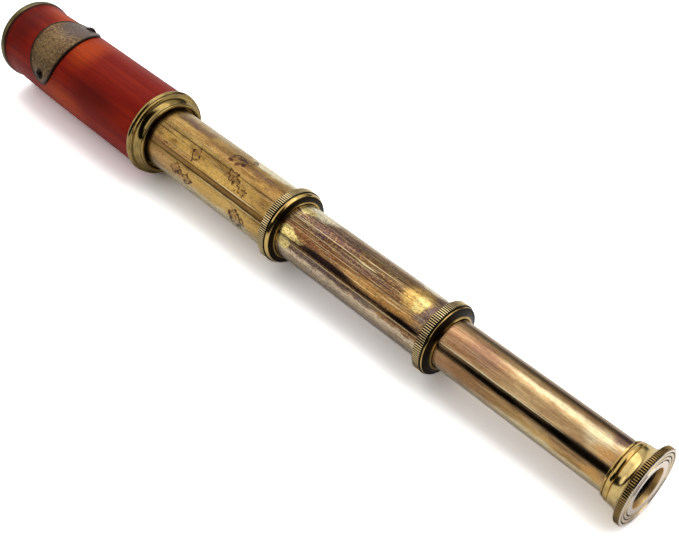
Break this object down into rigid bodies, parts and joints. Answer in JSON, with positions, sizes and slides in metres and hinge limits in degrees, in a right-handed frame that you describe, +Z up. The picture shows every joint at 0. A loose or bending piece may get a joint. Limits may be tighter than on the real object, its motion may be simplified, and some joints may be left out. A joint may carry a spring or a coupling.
{
  "type": "spyglass",
  "caption": "Draw-tube spyglass at full length: wood-covered brass barrel, sliding brass draws with knurled collars, erecting lenses inside and a flared eye cup.",
  "frame": {"origin": "on the optical axis, in the plane of the front rim of the objective", "axes": "+X runs along the optical axis from the objective to the eye, +Z is up as the spyglass lies on a table, +Y completes the right-handed set"},
  "size_m": [0.4021, 0.0443, 0.044],
  "materials": {
    "barrel_tube_brass": "drawn, plain",
    "stained_wood": "red stain under satin lacquer",
    "dark_brass": "darkened antique patina",
    "ferrule_brass": "turned, polished over a dark patina",
    "collar_brass": "turned and knurled, polished",
    "draw_tube_brass": "drawn, lengthwise rub marks and heat-coloured tarnish",
    "bush_brass": "turned",
    "blackened_brass": "matt optical black",
    "optical_glass": "polished"
  },
  "bodies": {
    "barrel": {"main_tube": "barrel_tube_brass", "wood_sleeve": "stained_wood", "objective_bezel": "dark_brass", "crown_lens": "optical_glass", "lens_spacer": "blackened_brass", "flint_lens": "optical_glass", "objective_ring": "blackened_brass", "barrel_ferrule": "ferrule_brass", "barrel_bush": "bush_brass", "barrel_plate": "dark_brass", "plate_screws": "dark_brass"},
    "draw_1": {"draw_1_tube": "draw_tube_brass", "draw_1_collar": "collar_brass", "draw_1_stop_ring": "bush_brass", "draw_1_bush": "bush_brass"},
    "draw_2": {"draw_2_tube": "draw_tube_brass", "draw_2_collar": "collar_brass", "draw_2_stop_ring": "bush_brass", "draw_2_bush": "bush_brass"},
    "draw_3": {"draw_3_tube": "draw_tube_brass", "draw_3_stop_ring": "bush_brass", "erector_tube": "blackened_brass", "erector_front_lens": "optical_glass", "erector_front_ring": "blackened_brass", "erector_stop": "blackened_brass", "erector_rear_lens": "optical_glass", "erector_rear_ring": "blackened_brass", "eyepiece_ring": "collar_brass", "eye_cup": "collar_brass", "eye_tube": "blackened_brass", "field_lens": "optical_glass", "field_lens_ring": "blackened_brass", "field_stop": "blackened_brass", "eye_lens": "optical_glass", "eye_lens_ring": "blackened_brass"}
  },
  "joints": [
    {"name": "draw_1_slide", "type": "slide", "parent": "barrel", "child": "draw_1", "axis": [-1, 0, 0], "range_m": [0, 0.084]},
    {"name": "draw_2_slide", "type": "slide", "parent": "draw_1", "child": "draw_2", "axis": [-1, 0, 0], "range_m": [0, 0.0852]},
    {"name": "draw_3_slide", "type": "slide", "parent": "draw_2", "child": "draw_3", "axis": [-1, 0, 0], "range_m": [0, 0.0823]}
  ]
}
